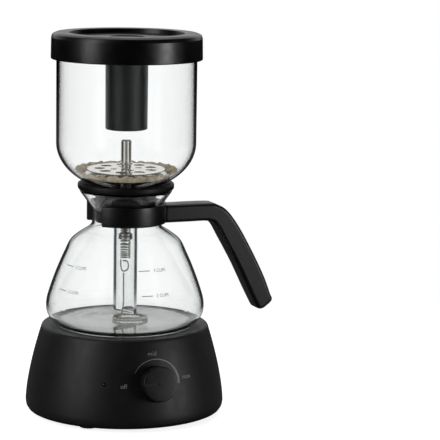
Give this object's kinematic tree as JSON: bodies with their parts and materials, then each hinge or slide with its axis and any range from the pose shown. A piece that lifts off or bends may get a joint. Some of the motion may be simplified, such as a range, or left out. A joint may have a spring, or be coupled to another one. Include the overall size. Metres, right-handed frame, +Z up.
{
  "type": "siphon coffee maker",
  "caption": "Electric vacuum coffee brewer: dial-controlled heating base, glass carafe with side handle, glass upper bowl with stem, cloth filter on a spring, and lid with stand tube.",
  "frame": {"origin": "centre of the base's flat underside, on the bowls' common axis; the rubber feet reach 3 mm below it", "axes": "+Z up along the bowls' axis, -Y towards the control knob, +X towards the handle"},
  "size_m": [0.2004, 0.1667, 0.2966],
  "materials": {
    "black_plastic": "moulded, fine satin texture",
    "dark_resin": "moulded phenolic resin",
    "black_rubber": "moulded",
    "borosilicate_glass": "clear, blown",
    "lens": "clear tinted",
    "heater_aluminium": "turned and polished",
    "stainless": "polished",
    "zinc_steel": "zinc plated",
    "ceramic": "matt white ceramic",
    "silicone": "moulded",
    "cotton": "woven cotton, coffee stained",
    "wire_cover": "glass-fibre sleeve"
  },
  "bodies": {
    "base": {"base_housing": "black_plastic", "base_bottom_cover": "black_plastic", "foot_front_left": "black_rubber", "foot_front_right": "black_rubber", "foot_back_right": "black_rubber", "foot_back_left": "black_rubber", "cover_screw_1": "zinc_steel", "cover_screw_2": "zinc_steel", "cover_screw_3": "zinc_steel", "cover_screw_4": "zinc_steel", "heater_plate": "heater_aluminium", "plate_seal_ring": "silicone", "heating_element": "stainless", "heat_reflector": "zinc_steel", "heater_post_1": "zinc_steel", "heater_post_2": "zinc_steel", "heater_post_3": "zinc_steel", "thermostat": "ceramic", "thermal_fuse": "ceramic", "control_switch": "dark_resin", "switch_nut": "zinc_steel", "indicator_lens": "lens", "pilot_lamp": "ceramic", "cord_inlet": "black_rubber", "terminal_block": "ceramic", "lead_live": "wire_cover", "lead_switched": "wire_cover", "lead_element": "wire_cover", "lead_neutral": "wire_cover"},
    "dial": {"knob": "black_plastic", "switch_shaft": "zinc_steel"},
    "carafe": {"carafe_glass": "borosilicate_glass", "handle": "black_plastic"},
    "upper_bowl": {"upper_bowl_glass": "borosilicate_glass", "bowl_gasket": "black_rubber"},
    "filter": {"filter_post": "stainless", "filter_disc": "stainless", "filter_spacer": "stainless", "filter_lower_disc": "stainless", "filter_cloth": "cotton", "filter_nut": "stainless", "filter_spring": "stainless", "spring_collar": "stainless", "filter_hook": "stainless", "pull_wire": "stainless", "ball_chain": "stainless"},
    "lid": {"lid_cap": "black_plastic", "lid_tube": "black_plastic"}
  },
  "joints": [
    {"name": "knob_turn", "type": "hinge", "parent": "base", "child": "dial", "pos_m": [0, -0.07366, 0.0337], "axis": [0, 0.9771, -0.2129], "range_deg": [0, 180]},
    {"name": "carafe_lift", "type": "slide", "parent": "base", "child": "carafe", "axis": [0, 0, 1], "range_m": [0, 0.12]},
    {"name": "bowl_lift", "type": "slide", "parent": "carafe", "child": "upper_bowl", "axis": [0, 0, 1], "range_m": [0, 0.11]},
    {"name": "filter_lift", "type": "slide", "parent": "upper_bowl", "child": "filter", "axis": [0, 0, 1], "range_m": [0, 0.003]},
    {"name": "lid_lift", "type": "slide", "parent": "upper_bowl", "child": "lid", "axis": [0, 0, 1], "range_m": [0, 0.09]}
  ]
}
